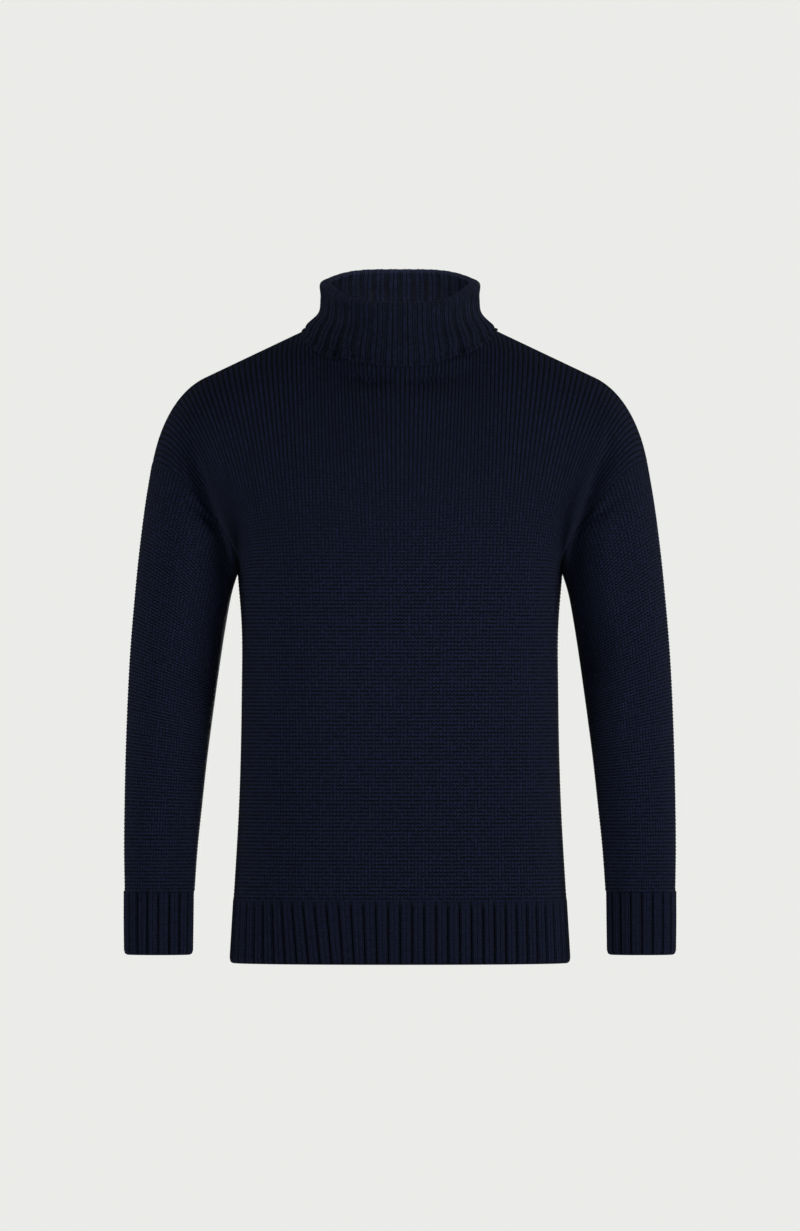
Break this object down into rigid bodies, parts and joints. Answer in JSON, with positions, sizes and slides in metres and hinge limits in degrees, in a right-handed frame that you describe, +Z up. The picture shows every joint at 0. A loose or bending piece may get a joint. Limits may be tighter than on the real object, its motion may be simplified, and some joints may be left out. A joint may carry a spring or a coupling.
{
  "type": "turtleneck sweater",
  "caption": "Chunky plain-knit turtleneck sweater with a folded ribbed collar, dropped shoulders, long sleeves, ribbed cuffs and ribbed hem.",
  "frame": {"origin": "midway between the two neck points, where the shoulder seams start and the wearer's shoulders hold the sweater up", "axes": "+Z up, -Y out of the front, +X to the wearer's left"},
  "size_m": [0.6012, 0.2279, 0.7565],
  "materials": {
    "navy_plain_knit": "matt plain-knit wool",
    "navy_ribbed_knit": "matt two-by-two ribbed wool",
    "navy_ribbed_collar": "matt two-by-two ribbed wool"
  },
  "bodies": {
    "root": {"body_front": "navy_plain_knit", "body_back": "navy_plain_knit", "sleeve_left": "navy_plain_knit", "sleeve_right": "navy_plain_knit", "hem_rib_front": "navy_ribbed_knit", "hem_rib_back": "navy_ribbed_knit", "cuff_left": "navy_ribbed_knit", "cuff_right": "navy_ribbed_knit", "collar": "navy_ribbed_collar"}
  },
  "joints": []
}
